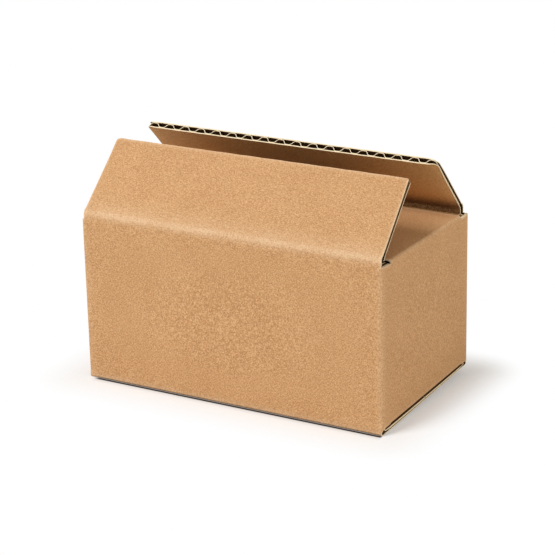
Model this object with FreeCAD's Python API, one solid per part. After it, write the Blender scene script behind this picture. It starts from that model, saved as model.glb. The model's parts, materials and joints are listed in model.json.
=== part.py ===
"""A small slotted carton, folded from one sheet of corrugated board.

The origin is on the table, under the middle of the carton. X runs along the length,
Y across the width from the front to the back, and Z up. All sizes are in millimetres.
"""

import FreeCAD, Part
import math
import os

from FreeCAD import Vector

# The carton's outer size, with its short top flaps folded flat
length = 124.0
width = 69.0
height = 63.0

# Corrugated board: two liners and a wavy medium between them
board = 2.65
liner = 0.40
medium = 0.30
flute_pitch = 6.86
flute_flat = 2.0
first_flank = 4.2

# Folds: the outer radius of each kind of crease, and the inner radius of them all
corner_radius = 2.4
end_fold_radius = 1.9
bottom_fold_radius = 2.6
inner_radius = 0.35

# Slots between neighbouring flaps: how far each flap stands in from the corners, and how far
# the slots reach past the folds at the top and at the bottom
long_flap_inset = 1.3
bottom_flap_inset = 0.6
short_flap_inset = 4.8
slot_depth = 1.7
slot_radius = 1.2
corner_foot = 3.4

# Gaps left in the middle, between the two long top flaps when shut and between the bottom ones
long_seam = 2.2
bottom_seam = 0.5
short_flap_reach = 32.8

# The two long top flaps: how far each leans in from upright as the carton stands half shut,
# and how far from upright each can be shut and opened
front_lean_angle = 47.5
back_lean_angle = 44.5
closed_angle = 90.0
open_angle = 120.0
closed_clearance = 0.15
crease_gap = 0.25
free_corner_radius = 1.5

# The crushed band beside a crease, where the board has no open flutes
crushed_band = 4.0

# The joint tab, glued inside the end wall at the back left corner
tab_width = 24.0
tab_taper = 5.0
tab_end_gap = 3.0

# Places that follow from the sizes above
half_length = length / 2
half_width = width / 2
pivot_inset = board / 2
pivot_y = half_width - pivot_inset
pivot_z = height + closed_clearance + board / 2
flap_reach = half_width - long_seam / 2 - pivot_inset
flap_half = half_length - long_flap_inset
bottom_flap_half = half_length - bottom_flap_inset
short_flap_half = half_width - short_flap_inset
slot_floor = height - slot_depth


def polygon(points):
    """A flat face bounded by straight edges through the points."""
    return Part.Face(Part.makePolygon(points + [points[0]]))


def block(x0, x1, y0, y1, z0, z1):
    """A box between two opposite corners."""
    return Part.makeBox(x1 - x0, y1 - y0, z1 - z0, Vector(x0, y0, z0))


def fuse(shapes):
    """One solid from shapes that overlap or share faces."""
    whole = shapes[0].multiFuse(shapes[1:])
    return whole.removeSplitter()


def walls():
    """The four walls as one tube with rounded corners, open where the flaps fold from it."""
    outer = block(-half_length, half_length, -half_width, half_width, corner_foot, slot_floor)
    outer = round_uprights(outer, corner_radius)
    inner_x = half_length - board
    inner_y = half_width - board
    inner = block(-inner_x, inner_x, -inner_y, inner_y, corner_foot, slot_floor)
    inner = round_uprights(inner, inner_radius)
    windows = [
        block(-length, length, -short_flap_half, short_flap_half, 0, board + bottom_fold_radius),
        block(-length, length, -short_flap_half, short_flap_half, height - end_fold_radius, height),
        block(-bottom_flap_half, bottom_flap_half, -width, width, 0, bottom_fold_radius),
    ]
    return outer.cut([inner] + windows)


def round_uprights(solid, radius):
    """Rounds the vertical edges of a box."""
    uprights = []
    for edge in solid.Edges:
        start = edge.Vertexes[0].Point
        end = edge.Vertexes[-1].Point
        if abs(start.z - end.z) > board:
            uprights.append(edge)
    return solid.makeFillet(radius, uprights)


def fold_path(reach, rise, radius):
    """The section of a board folded through a right angle, in the plane of U and V.

    U runs inwards from the wall's outer face and V up to the flap's outer face, both
    from the sharp corner that the rounded fold replaces. The wall hangs down by rise.
    """
    inside = board + inner_radius
    turn = math.sqrt(0.5)
    outer_mid = radius * (1 - turn)
    inner_mid = board + inner_radius * (1 - turn)
    edges = [
        Part.LineSegment(Vector(0, -rise, 0), Vector(0, -radius, 0)),
        Part.Arc(Vector(0, -radius, 0), Vector(outer_mid, -outer_mid, 0), Vector(radius, 0, 0)),
        Part.LineSegment(Vector(radius, 0, 0), Vector(reach, 0, 0)),
        Part.LineSegment(Vector(reach, 0, 0), Vector(reach, -board, 0)),
        Part.LineSegment(Vector(reach, -board, 0), Vector(inside, -board, 0)),
        Part.Arc(
            Vector(inside, -board, 0), Vector(inner_mid, -inner_mid, 0), Vector(board, -inside, 0)
        ),
        Part.LineSegment(Vector(board, -inside, 0), Vector(board, -rise, 0)),
        Part.LineSegment(Vector(board, -rise, 0), Vector(0, -rise, 0)),
    ]
    return Part.Wire([edge.toShape() for edge in edges])


def folded_flap(reach, rise, radius, half_span, inwards, up, corner):
    """A flap folded flat from its wall, as a board swept along its crease.

    corner is where the sharp fold would be, at the middle of the crease.
    """
    along = inwards.cross(up)
    matrix = FreeCAD.Matrix(
        inwards.x, up.x, along.x, corner.x,
        inwards.y, up.y, along.y, corner.y,
        inwards.z, up.z, along.z, corner.z,
        0, 0, 0, 1,
    )
    section = Part.Face(fold_path(reach, rise, radius))
    sweep = section.extrude(Vector(0, 0, 2 * half_span))
    sweep.translate(Vector(0, 0, -half_span))
    return placed(sweep, matrix)


def placed(shape, matrix):
    """A copy of the shape, moved by a turn and a shift."""
    moved = shape.copy()
    moved.Placement = FreeCAD.Placement(matrix).multiply(shape.Placement)
    return moved


def short_top_flap(side):
    """A short top flap folded flat over the box's mouth, with its end wall's top."""
    return folded_flap(
        short_flap_reach, slot_depth + board, end_fold_radius, short_flap_half,
        Vector(-side, 0, 0), Vector(0, 0, 1), Vector(side * half_length, 0, height),
    )


def short_bottom_flap(side):
    """A short bottom flap, which lies on the long ones inside the carton."""
    return folded_flap(
        short_flap_reach, board + bottom_fold_radius, bottom_fold_radius, short_flap_half,
        Vector(-side, 0, 0), Vector(0, 0, -1), Vector(side * half_length, 0, board),
    )


def long_bottom_flap(side):
    """A long bottom flap, which the carton stands on."""
    reach = half_width - bottom_seam / 2
    return folded_flap(
        reach, board + bottom_fold_radius, bottom_fold_radius, bottom_flap_half,
        Vector(0, -side, 0), Vector(0, 0, -1), Vector(0, side * half_width, 0),
    )


def crease_edge(direction):
    """Points across the board's edge at a crease, from the outer face to the inner one.

    The edge is pressed to a ridge in mid board, so that the flap turns both ways. Each
    point is a place across the board and a height from the crease, along direction.
    """
    half = board / 2
    outer = crease_gap + half * math.tan(math.radians(open_angle / 2))
    inner = crease_gap + half * math.tan(math.radians(closed_angle / 2))
    return [(-half, direction * outer), (0, direction * crease_gap), (half, direction * inner)]


def rim(side):
    """The top of a long wall, between its two slots, up to the crease of its flap."""
    low = slot_floor - board
    section = [Vector(0, side * (pivot_y + board / 2), low)]
    for across, rise in crease_edge(-1):
        section.append(Vector(0, side * (pivot_y - across), pivot_z + rise))
    section.append(Vector(0, side * (pivot_y - board / 2), low))
    wall = polygon(section).extrude(Vector(2 * flap_half, 0, 0))
    wall.translate(Vector(-flap_half, 0, 0))
    return wall


def slot_roots():
    """The rounded ends of the four top slots, as solids to cut from the corners."""
    roots = []
    for side_x in (-1, 1):
        for side_y in (-1, 1):
            root = Part.makeCylinder(
                slot_radius, 2 * board, Vector(side_x * half_length, side_y * half_width, slot_floor),
                Vector(-side_x, -side_y, 0),
            )
            roots.append(root)
    return roots


def joint_tab():
    """The joint tab, glued inside the left end wall, with its tapered ends."""
    root_y = half_width - board
    free_y = root_y - tab_width
    low = 2 * board + tab_end_gap
    high = height - board - tab_end_gap
    x = -half_length + board
    outline = [
        Vector(x, root_y, low),
        Vector(x, root_y, high),
        Vector(x, free_y, high - tab_taper),
        Vector(x, free_y, low + tab_taper),
    ]
    return polygon(outline).extrude(Vector(board, 0, 0))


def carton():
    """The folded sheet: walls, joint tab, bottom flaps and short top flaps."""
    pieces = [walls(), joint_tab()]
    for side in (-1, 1):
        pieces += [rim(side), short_top_flap(side), short_bottom_flap(side), long_bottom_flap(side)]
    whole = fuse(pieces)
    for root in slot_roots():
        whole = whole.cut(root)
    return whole.removeSplitter()


def flute_channels():
    """The hollow channels between the liners, which open at the flap's free edge.

    They lie in the flap's own frame: X along the crease, Y up the flap from the crease
    and Z through the board, with the outer liner on top.
    """
    gap = board - 2 * liner
    rise = gap - medium
    flank = flute_pitch / 2 - flute_flat
    slant = medium / 2 * math.hypot(1, flank / rise)
    wide = flute_flat / 2 + flank - slant
    narrow = flute_flat / 2 - slant + flank * (medium / 2) / rise
    channels = []
    centre = -flap_half + first_flank - flute_pitch / 4
    way = -1
    while centre - wide < flap_half:
        foot = way * gap / 2
        crown = -way * (gap / 2 - medium)
        section = [
            Vector(centre - wide, crushed_band, foot),
            Vector(centre + wide, crushed_band, foot),
            Vector(centre + narrow, crushed_band, crown),
            Vector(centre - narrow, crushed_band, crown),
        ]
        channels.append(polygon(section).extrude(Vector(0, 2 * flap_reach, 0)))
        centre += flute_pitch / 2
        way = -way
    return Part.makeCompound(channels)


def long_flap_blank():
    """A long flap lying flat in its own frame, with its crease on the X axis."""
    section = [Vector(0, flap_reach, board / 2)]
    for across, rise in crease_edge(1):
        section.append(Vector(0, rise, -across))
    section.append(Vector(0, flap_reach, -board / 2))
    sheet = polygon(section).extrude(Vector(2 * flap_half, 0, 0))
    sheet.translate(Vector(-flap_half, 0, 0))
    sheet = round_free_corners(sheet)
    return sheet.cut(flute_channels())


def round_free_corners(sheet):
    """Rounds the two corners at a flap's free edge, as handling leaves them."""
    corners = []
    for edge in sheet.Edges:
        start = edge.Vertexes[0].Point
        end = edge.Vertexes[-1].Point
        through = abs(start.z - end.z) > board / 2 and abs(start.y - end.y) < board / 2
        if through and start.y > flap_reach / 2:
            corners.append(edge)
    return sheet.makeFillet(free_corner_radius, corners)


def long_flap(side, lean_angle):
    """A long top flap, leaning in from upright by the given angle."""
    flap = long_flap_blank()
    angle = math.radians(lean_angle)
    up_flap = Vector(0, -side * math.sin(angle), math.cos(angle))
    outwards = Vector(0, side * math.cos(angle), math.sin(angle))
    along = up_flap.cross(outwards)
    matrix = FreeCAD.Matrix(
        along.x, up_flap.x, outwards.x, 0,
        along.y, up_flap.y, outwards.y, side * pivot_y,
        along.z, up_flap.z, outwards.z, pivot_z,
        0, 0, 0, 1,
    )
    return placed(flap, matrix)


def write(name, shape):
    """Writes one sub-part, and prints what it holds."""
    solids = shape.Solids
    whole = solids[0] if len(solids) == 1 else Part.makeCompound(solids)
    whole.exportStep(f"parts/{name}.step")
    box = whole.BoundBox
    print(name, len(solids), "solid, valid", whole.isValid(), "volume", round(whole.Volume, 1))
    print("  x", round(box.XMin, 2), round(box.XMax, 2), "y", round(box.YMin, 2), round(box.YMax, 2))
    print("  z", round(box.ZMin, 2), round(box.ZMax, 2))


os.makedirs("parts", exist_ok=True)
write("carton", carton())
write("long_flap_front", long_flap(-1, front_lean_angle))
write("long_flap_back", long_flap(1, back_lean_angle))
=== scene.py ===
"""A small kraft carton of corrugated board, standing with its two long flaps half shut.

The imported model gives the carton's size, its creases and how far each long flap leans. The
board is built around that as it really is: two paper liners with a wavy medium between them,
cut, scored and folded from one sheet. All lengths are in metres.
"""

import json
import logging
import math
from dataclasses import dataclass, field
from enum import Enum
from typing import Any, Optional, Sequence, Union

import bmesh
import bpy
import numpy as np
from mathutils import Matrix, Vector


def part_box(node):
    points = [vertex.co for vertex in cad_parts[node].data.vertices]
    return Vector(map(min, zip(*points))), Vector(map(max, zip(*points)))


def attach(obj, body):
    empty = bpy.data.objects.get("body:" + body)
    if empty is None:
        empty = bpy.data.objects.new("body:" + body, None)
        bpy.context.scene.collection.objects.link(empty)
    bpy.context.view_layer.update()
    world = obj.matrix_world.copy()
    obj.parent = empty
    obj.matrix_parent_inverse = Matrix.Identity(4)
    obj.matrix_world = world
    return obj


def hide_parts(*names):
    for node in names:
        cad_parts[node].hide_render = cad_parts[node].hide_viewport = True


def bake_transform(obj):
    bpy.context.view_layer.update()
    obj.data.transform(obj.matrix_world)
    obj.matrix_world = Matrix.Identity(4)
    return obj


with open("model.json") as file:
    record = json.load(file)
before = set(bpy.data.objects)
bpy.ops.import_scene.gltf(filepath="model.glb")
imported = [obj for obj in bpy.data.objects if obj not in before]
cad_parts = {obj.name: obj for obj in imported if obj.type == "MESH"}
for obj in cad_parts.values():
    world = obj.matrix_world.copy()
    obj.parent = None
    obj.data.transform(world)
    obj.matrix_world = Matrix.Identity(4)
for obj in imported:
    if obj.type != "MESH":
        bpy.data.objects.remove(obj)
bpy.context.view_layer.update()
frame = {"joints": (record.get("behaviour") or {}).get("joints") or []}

LOG = logging.getLogger("carton")
MM = 0.001
QUARTER = math.pi / 2
SMOOTH_BELOW = math.radians(32)
# The pace of each ripple in a wobble, how far the seed shifts it, and its share.
RIPPLES = ((1.0, 1.7, 0.55), (2.3, 4.1, 0.30), (4.9, 2.9, 0.15))

Number = Union[float, np.ndarray]
Colour = tuple[float, float, float]


class Layer(Enum):
    """The two paper liners of the board."""

    OUTER = "outer_liner"
    INNER = "inner_liner"


class Side(Enum):
    """The two long walls, by the way that each faces along Y."""

    FRONT = -1
    BACK = 1


class Wall(Enum):
    """The four walls, in order round the carton, by the way that each runs along X and Y."""

    FRONT = (1, 0)
    RIGHT = (0, 1)
    BACK = (-1, 0)
    LEFT = (0, -1)

    @property
    def number(self) -> int:
        """Its number, from 0 at the front."""
        return list(Wall).index(self)

    @property
    def long(self) -> bool:
        """Whether it is one of the two long walls."""
        return self.value[1] == 0

    @property
    def outwards(self) -> tuple[int, int]:
        """The way that it faces along X and Y."""
        return self.value[1], -self.value[0]


class Coat(Enum):
    """The finishes on a liner, each with the number of its material slot."""

    PAPER = 0
    CUT = 1
    # The near black finish: glue between faces that lie together, and painted shade in the flute voids and
    # the cracks between flaps.
    GLUED = 2


class Seed(Enum):
    """What makes each wobble of the board unlike the others."""

    BOTTOM_EDGE = 1.0
    LONG_EDGE = 3.0
    SHORT_EDGE = 5.0
    CREASE_RUB = 7.0
    FOLD_RUB = 9.0


def smooth_step(value: Number) -> Number:
    """A soft step from 0 to 1 as value goes from 0 to 1."""
    held = np.clip(value, 0.0, 1.0)
    return held * held * (3.0 - 2.0 * held)


def bell(distance: Number, width: float) -> Number:
    """A soft bump: 1 where the distance is 0, and next to nothing past twice the width."""
    return np.exp(-((distance / width) ** 2))


def wander(place: Number, seed: float, wave: float) -> Number:
    """A smooth, repeatable wobble between about -1 and 1.

    Args:
        place: Where along a line, in metres.
        seed: A number that makes one wobble unlike another.
        wave: The longest wave in it, in metres.

    Returns:
        The wobble at that place.
    """
    turn = 2 * math.pi * np.asarray(place) / wave
    return sum(share * np.sin(turn * pace + seed * shift) for pace, shift, share in RIPPLES)


@dataclass(frozen=True)
class Board:
    """Single wall corrugated board, and how it folds."""

    thickness: float
    liner: float = 0.40 * MM
    medium: float = 0.24 * MM
    pitch: float = 6.86 * MM
    first_flank: float = 4.2 * MM
    squareness: float = 2.1
    inner_radius: float = 0.35 * MM

    @property
    def middle(self) -> float:
        """How deep the middle of the board lies."""
        return self.thickness / 2

    @property
    def rise(self) -> float:
        """How far the medium's middle line goes to either side of the board's middle."""
        return self.middle - self.liner - self.medium / 2

    def span(self, layer: Layer) -> tuple[float, float]:
        """How deep a liner's two faces lie below the board's outer face.

        Args:
            layer: Which liner.

        Returns:
            The depth of its outward face, and that of its inward one.
        """
        if layer is Layer.OUTER:
            return 0.0, self.liner
        return self.thickness - self.liner, self.thickness

    def under_outer(self, depth: float) -> bool:
        """Whether a depth is that of the outer liner's face on the medium."""
        return 0 < depth < self.middle

    def under_inner(self, depth: float) -> bool:
        """Whether a depth is that of the inner liner's face on the medium."""
        return self.middle < depth < self.thickness

    def fold_radius(self, outer: float, depth: Number) -> Number:
        """The radius of a fold at a depth in the board, from its outer radius."""
        return np.maximum(outer - depth, self.inner_radius)


@dataclass(frozen=True)
class Crease:
    """The crease of one long flap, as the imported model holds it."""

    side: Side
    body: str
    pivot_y: float
    pivot_z: float
    lean: float

    @staticmethod
    def read(side: Side, body: str, joint: str) -> "Crease":
        """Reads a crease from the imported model's joints.

        Args:
            side: Which long wall it belongs to.
            body: The body that turns on it, which is also its node's name.
            joint: The joint's name.

        Returns:
            The crease.
        """
        found = next(j for j in frame["joints"] if j["name"] == joint)
        place = found["pos_m"]
        shut = math.radians(found["range_deg"][1])
        return Crease(side, body, abs(place[1]), place[2], QUARTER - shut)


@dataclass(frozen=True)
class Sizes:
    """The folded carton's sizes. Those with a default are set here, as part of its look."""

    half_length: float
    half_width: float
    pivot_z: float
    board: Board
    shut_gap: float = 0.15 * MM
    corner_radius: float = 1.5 * MM
    end_fold_radius: float = 1.3 * MM
    bottom_fold_radius: float = 1.0 * MM
    end_foot_radius: float = 0.7 * MM
    crease_radius: float = 3.6 * MM
    crease_web: float = 2.4 * MM
    long_flap_inset: float = 1.3 * MM
    bottom_flap_inset: float = 0.6 * MM
    short_flap_inset: float = 6.6 * MM
    slot_rise: float = 0.12 * MM
    slot_rim: float = 0.7 * MM
    rim_height: float = 1.5 * MM
    corner_foot: float = 2.7 * MM
    straighten: float = 4.0 * MM
    bottom_seam: float = 0.4 * MM
    top_seam: float = 2.2 * MM
    short_reach: float = 32.8 * MM
    crushed_band: float = 2.9 * MM
    medium_gap: float = 0.15 * MM
    tab_width: float = 24.0 * MM
    tab_taper: float = 5.0 * MM
    tab_gap: float = 3.0 * MM

    @staticmethod
    def read(crease: Crease) -> "Sizes":
        """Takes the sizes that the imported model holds.

        Args:
            crease: The crease of one long flap, which is in the middle of the wall's board.

        Returns:
            The sizes.
        """
        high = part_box("carton")[1]
        thickness = 2 * (high.y - crease.pivot_y)
        return Sizes(high.x, high.y, crease.pivot_z, Board(thickness))

    @property
    def height(self) -> float:
        """The height of the short top flaps' upper faces."""
        return self.pivot_z - self.board.middle - self.shut_gap

    @property
    def seam_height(self) -> float:
        """Where a long wall ends and the web of its crease begins."""
        return self.pivot_z - self.crease_web

    @property
    def long_reach(self) -> float:
        """How far a long flap reaches from its crease to its free edge."""
        return self.half_width - self.board.middle - self.top_seam / 2

    @property
    def short_tip(self) -> float:
        """How far from the middle of the carton the short flaps end."""
        return self.half_length - self.short_reach


class Socket:
    """A node's output that takes part in Python sums, each of which adds a Math node."""

    def __init__(self, nodes: "Nodes", link: bpy.types.NodeSocket) -> None:
        """Wraps one output socket of a node in a tree."""
        self.nodes = nodes
        self.link = link

    def _math(self, operation: str, *values: Any) -> "Socket":
        """Adds a Math node."""
        return self.nodes.add("ShaderNodeMath", {"operation": operation}, dict(enumerate(values)))

    def __add__(self, other: Any) -> "Socket":
        """This value and another."""
        return self._math("ADD", self, other)

    def __radd__(self, other: Any) -> "Socket":
        """Another value and this one."""
        return self._math("ADD", other, self)

    def __sub__(self, other: Any) -> "Socket":
        """This value less another."""
        return self._math("SUBTRACT", self, other)

    def __rsub__(self, other: Any) -> "Socket":
        """Another value less this one."""
        return self._math("SUBTRACT", other, self)

    def __mul__(self, other: Any) -> "Socket":
        """This value times another."""
        return self._math("MULTIPLY", self, other)

    def __rmul__(self, other: Any) -> "Socket":
        """Another value times this one."""
        return self._math("MULTIPLY", other, self)

    def __truediv__(self, other: Any) -> "Socket":
        """This value over another."""
        return self._math("DIVIDE", self, other)

    def __rtruediv__(self, other: Any) -> "Socket":
        """Another value over this one."""
        return self._math("DIVIDE", other, self)

    def sine(self) -> "Socket":
        """The sine of this value."""
        return self._math("SINE", self)

    def tanh(self) -> "Socket":
        """The hyperbolic tangent of this value."""
        return self._math("TANH", self)

    def step(self, low: float, high: float) -> "Socket":
        """A soft step over this value.

        Args:
            low: Where it is 0.
            high: Where it is 1, which may be the lower of the two.

        Returns:
            The step.
        """
        settings = {"interpolation_type": "SMOOTHSTEP", "clamp": True}
        values = {"Value": self, "From Min": low, "From Max": high}
        return self.nodes.add("ShaderNodeMapRange", settings, values)

    def other(self, name: str) -> "Socket":
        """Another output of the same node."""
        return Socket(self.nodes, self.link.node.outputs[name])


@dataclass(frozen=True)
class Grain:
    """One noise in a paper, with its share in the paper's tone and in its relief."""

    scale: float
    detail: float = 1.0
    rough: float = 0.5
    distort: float = 0.0
    tone: float = 0.0
    relief: float = 0.0


class Nodes:
    """Adds nodes to one tree, and links them."""

    MIX_INPUTS = (0, 6, 7)
    MIX_OUTPUT = 2

    def __init__(self, tree: bpy.types.NodeTree) -> None:
        """Empties a tree, to build it anew."""
        self.tree = tree
        tree.nodes.clear()

    def _new(self, kind: str, settings: dict, values: dict) -> bpy.types.Node:
        """Adds one node.

        Args:
            kind: The node's type name.
            settings: Its properties, set before its inputs.
            values: Its inputs by name or number: each a value, a Socket or a list of Sockets.

        Returns:
            The node.
        """
        node = self.tree.nodes.new(kind)
        for name, value in settings.items():
            setattr(node, name, value)
        for key, value in values.items():
            for item in value if isinstance(value, list) else [value]:
                if isinstance(item, Socket):
                    self.tree.links.new(item.link, node.inputs[key])
                else:
                    node.inputs[key].default_value = item
        return node

    def add(self, kind: str, settings: Optional[dict] = None, values: Optional[dict] = None,
            output: Union[int, str] = 0) -> Socket:
        """Adds one node and gives one of its outputs.

        Args:
            kind: The node's type name.
            settings: Its properties.
            values: Its inputs, as _new takes them.
            output: The name or number of the output.

        Returns:
            The wrapped output.
        """
        return Socket(self, self._new(kind, settings or {}, values or {}).outputs[output])

    def end(self, kind: str, shown: Socket) -> None:
        """Adds the tree's own output node and links its first input."""
        self._new(kind, {}, {0: shown})

    def vector(self, operation: str, values: dict, output: str = "Vector") -> Socket:
        """Adds a Vector Math node."""
        return self.add("ShaderNodeVectorMath", {"operation": operation}, values, output)

    def place(self) -> Socket:
        """The object coordinates."""
        return self.add("ShaderNodeTexCoord", output="Object")

    def split(self, place: Socket) -> Socket:
        """The X of a place. Its Y and Z are the other outputs of the same node."""
        return self.add("ShaderNodeSeparateXYZ", {}, {0: place}, "X")

    def stretched(self, place: Socket, scale: tuple[float, float, float]) -> Socket:
        """Coordinates scaled along each axis."""
        return self.add("ShaderNodeMapping", {"vector_type": "POINT"}, {"Vector": place, "Scale": scale})

    def noise(self, place: Socket, grain: Grain) -> Socket:
        """Adds one noise of a paper.

        Args:
            place: The coordinates that it follows.
            grain: Its scale and kind.

        Returns:
            The noise, from 0 to 1.
        """
        values = {
            "Vector": place, "Scale": grain.scale, "Detail": grain.detail,
            "Roughness": grain.rough, "Distortion": grain.distort,
        }
        return self.add("ShaderNodeTexNoise", {"noise_dimensions": "3D"}, values, "Fac")

    def attribute(self, name: str) -> Socket:
        """A number stored on the mesh."""
        return self.add("ShaderNodeAttribute", {"attribute_name": name}, output="Fac")

    def mix(self, share: Any, first: Any, second: Any) -> Socket:
        """A mix of two colours, where a share of 1 gives the second."""
        values = dict(zip(self.MIX_INPUTS, (share, first, second)))
        return self.add("ShaderNodeMix", {"data_type": "RGBA"}, values, self.MIX_OUTPUT)

    def seen(self) -> Socket:
        """1 for rays that the camera sees, straight or by a mirror or glass, and 0 for light."""
        camera = self.add("ShaderNodeLightPath", output="Is Camera Ray")
        return (camera + camera.other("Is Glossy Ray") + camera.other("Is Transmission Ray")).step(0.0, 0.5)


def rgba(colour: Colour) -> tuple[float, float, float, float]:
    """A colour of three numbers as one of four."""
    return *colour, 1.0


WHITE = rgba((1.0, 1.0, 1.0))


@dataclass(frozen=True)
class Finish:
    """A dull finish of paper. Each kind gives its own colour and the height of its grain."""

    name: str
    roughness: float
    gloss: float
    relief: float
    relief_depth: float

    def look(self, nodes: Nodes) -> tuple[Socket, Socket]:
        """Works out the colour and the height of the grain, which each kind does its own way."""
        raise NotImplementedError

    def make(self) -> bpy.types.Material:
        """Builds the material.

        Returns:
            The material.
        """
        material = bpy.data.materials.new(self.name)
        material.use_nodes = True
        nodes = Nodes(material.node_tree)
        colour, height = self.look(nodes)
        bump = nodes.add("ShaderNodeBump", {}, {
            "Strength": self.relief, "Distance": self.relief_depth, "Height": height,
        })
        shader = nodes.add("ShaderNodeBsdfPrincipled", {}, {
            "Base Color": colour, "Roughness": self.roughness,
            "Specular IOR Level": self.gloss, "Normal": bump,
        })
        nodes.end("ShaderNodeOutputMaterial", shader)
        return material


@dataclass(frozen=True)
class KraftPaper(Finish):
    """The brown liner paper: mottled fibres, faint flute lines and a second tone along the creases, which is
    paler wear on the outer liner and a darker painted shade on the inner liner.
    """

    name: str = "kraft_paper"
    roughness: float = 0.76
    gloss: float = 0.30
    relief: float = 0.35
    relief_depth: float = 0.35 * MM
    base: Colour = (0.600, 0.332, 0.148)
    dark: Colour = (0.430, 0.212, 0.080)
    pale: Colour = (0.760, 0.472, 0.245)
    rubbed_and_shaded: Colour = (0.800, 0.560, 0.345)
    rub_and_shade_floor: float = 0.40
    rub_and_shade_patches: tuple[float, float] = (0.35, 0.62)
    base_from: tuple[float, float] = (0.39, 0.51)
    pale_from: tuple[float, float] = (0.50, 0.62)
    speck_from: tuple[float, float] = (0.66, 0.78)
    speck_share: float = 0.45
    cloud: Grain = Grain(55.0, 3.0, 0.55, tone=0.06)
    mottle: Grain = Grain(1900.0, 2.0, 0.7, 0.3, tone=0.16, relief=0.5)
    fibre_x: Grain = Grain(3700.0, tone=0.40, relief=0.3)
    fibre_z: Grain = Grain(3500.0, tone=0.38, relief=0.2)
    speck: Grain = Grain(2200.0)
    fibre_stretch: float = 0.45
    flute_wave: float = 6.86 * MM
    flute_bump: float = 0.010
    grain_bump: float = 0.16

    def look(self, nodes: Nodes) -> tuple[Socket, Socket]:
        """Lays the fibres, the clouds and specks in their tone, and the worn stretches, which on the inner
        liner are painted shade.

        Args:
            nodes: The material's nodes.

        Returns:
            The colour and the height of the grain.
        """
        place = nodes.place()
        cloud = nodes.noise(place, self.cloud)
        mottle = nodes.noise(place, self.mottle)
        fibre_x = nodes.noise(nodes.stretched(place, (self.fibre_stretch, 1.0, 1.0)), self.fibre_x)
        fibre_z = nodes.noise(nodes.stretched(place, (1.0, 1.0, self.fibre_stretch)), self.fibre_z)
        speck = nodes.noise(place, self.speck)
        tone = cloud * self.cloud.tone + mottle * self.mottle.tone
        tone = tone + fibre_x * self.fibre_x.tone + fibre_z * self.fibre_z.tone
        colour = nodes.mix(tone.step(*self.base_from), rgba(self.dark), rgba(self.base))
        colour = nodes.mix(tone.step(*self.pale_from), colour, rgba(self.pale))
        colour = nodes.mix(speck.step(*self.speck_from) * self.speck_share, colour, rgba(self.dark))
        patches = self.rub_and_shade_floor + (1.0 - self.rub_and_shade_floor) * mottle.step(*self.rub_and_shade_patches)
        # The second tone: paler wear on the outer liner, and painted shade along the creases of the inner
        # liner.
        colour = nodes.mix(nodes.attribute("wear_and_shade") * patches, colour, rgba(self.rubbed_and_shaded))
        wave = (nodes.attribute("along") * (2 * math.pi / self.flute_wave)).sine()
        grain = mottle * self.mottle.relief + fibre_x * self.fibre_x.relief + fibre_z * self.fibre_z.relief
        return colour, grain * self.grain_bump + wave * self.flute_bump


@dataclass(frozen=True)
class CutEdge(Finish):
    """The pale, fuzzy edge where a blade has cut the liner or the medium."""

    name: str = "cut_edge"
    roughness: float = 0.95
    gloss: float = 0.15
    relief: float = 0.3
    relief_depth: float = 0.1 * MM
    base: Colour = (0.95, 0.76, 0.47)
    pale: Colour = (1.00, 0.89, 0.66)
    pale_from: tuple[float, float] = (0.35, 0.65)
    fuzz: Grain = Grain(2600.0, 2.0, 0.6)

    def look(self, nodes: Nodes) -> tuple[Socket, Socket]:
        """Lays the fuzz of the cut, as colour and as height.

        Args:
            nodes: The material's nodes.

        Returns:
            The colour and the height of the grain.
        """
        fuzz = nodes.noise(nodes.place(), self.fuzz)
        return nodes.mix(fuzz.step(*self.pale_from), rgba(self.base), rgba(self.pale)), fuzz


# The inner liner's second tone is painted shade: near black brown along the long flaps' creases, where shade
# falls between the flaps.
INSIDE_PAPER = KraftPaper(
    name="kraft_inside",
    base=(0.640, 0.345, 0.128),
    dark=(0.470, 0.230, 0.074),
    pale=(0.745, 0.430, 0.190),
    rubbed_and_shaded=(0.150, 0.062, 0.018),
    rub_and_shade_floor=0.62,
)
# Near black brown: glue where faces lie together, and painted shade for the flute voids, the cracks between
# flaps and the board's inner faces.
GLUE_AND_SHADE_PAPER = CutEdge(name="glue_and_shade_paper", base=(0.120, 0.055, 0.020), pale=(0.200, 0.100, 0.042))


@dataclass
class Paint:
    """The finishes that the carton's pieces share."""

    kraft: bpy.types.Material = field(default_factory=lambda: KraftPaper().make())
    kraft_inside: bpy.types.Material = field(default_factory=lambda: INSIDE_PAPER.make())
    edge: bpy.types.Material = field(default_factory=lambda: CutEdge().make())
    glued: bpy.types.Material = field(default_factory=lambda: GLUE_AND_SHADE_PAPER.make())


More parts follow.
